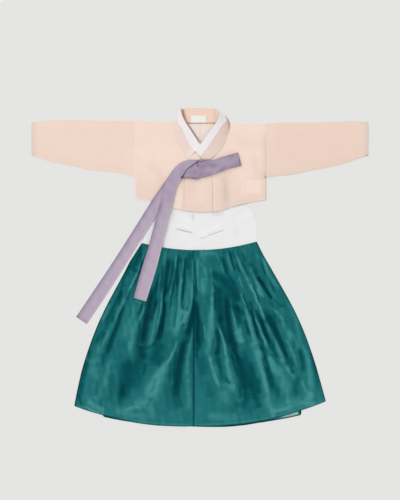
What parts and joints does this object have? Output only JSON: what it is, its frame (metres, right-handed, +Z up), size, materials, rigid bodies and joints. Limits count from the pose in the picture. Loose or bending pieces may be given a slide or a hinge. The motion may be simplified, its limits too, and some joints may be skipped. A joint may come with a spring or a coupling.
{
  "type": "korean hanbok",
  "caption": "Child's hanbok laid flat: a jacket with long curved sleeves, crossed collar and ribbon half bow over a white-bodiced wrap skirt with soft folds.",
  "frame": {"origin": "middle of the garment's box in X and Y, at the level of the surface that it lies on", "axes": "+X from cuff to cuff, towards the wearer's left sleeve; +Y from the skirt's hem to the neck; +Z up, out of the front of the garment"},
  "size_m": [0.946, 0.8938, 0.0217],
  "materials": {
    "skirt_satin": "teal silk satin with a fine slub, soft sheen, lined",
    "bodice_cotton": "white plain-weave cotton, matt",
    "jacket_gauze": "peach fine gauze, slightly sheer, lined",
    "collar_gauze": "peach gauze in several layers, deeper in tone",
    "collar_strip": "stiffened white cotton, smooth",
    "label_tape": "bare white woven tape",
    "ribbon_silk": "mauve silk, soft sheen"
  },
  "bodies": {
    "root": {"skirt_back": "skirt_satin", "skirt_front_right": "skirt_satin", "skirt_front_left": "skirt_satin", "bodice_back": "bodice_cotton", "bodice_front": "bodice_cotton", "bodice_strap_right": "bodice_cotton", "bodice_strap_left": "bodice_cotton", "jacket_back_right": "jacket_gauze", "jacket_back_left": "jacket_gauze", "jacket_front_right": "jacket_gauze", "jacket_front_left": "jacket_gauze", "seop_left": "jacket_gauze", "sleeve_right_under": "jacket_gauze", "sleeve_right_upper": "jacket_gauze", "sleeve_left_under": "jacket_gauze", "sleeve_left_upper": "jacket_gauze", "git_left": "collar_gauze", "git_right": "collar_gauze", "git_back": "collar_gauze", "dongjeong_left": "collar_strip", "dongjeong_right": "collar_strip", "dongjeong_back": "collar_strip", "neck_label": "label_tape", "care_label": "label_tape", "goreum_knot": "ribbon_silk", "goreum_loop": "ribbon_silk", "goreum_tail_long": "ribbon_silk", "goreum_tail_short": "ribbon_silk"}
  },
  "joints": []
}
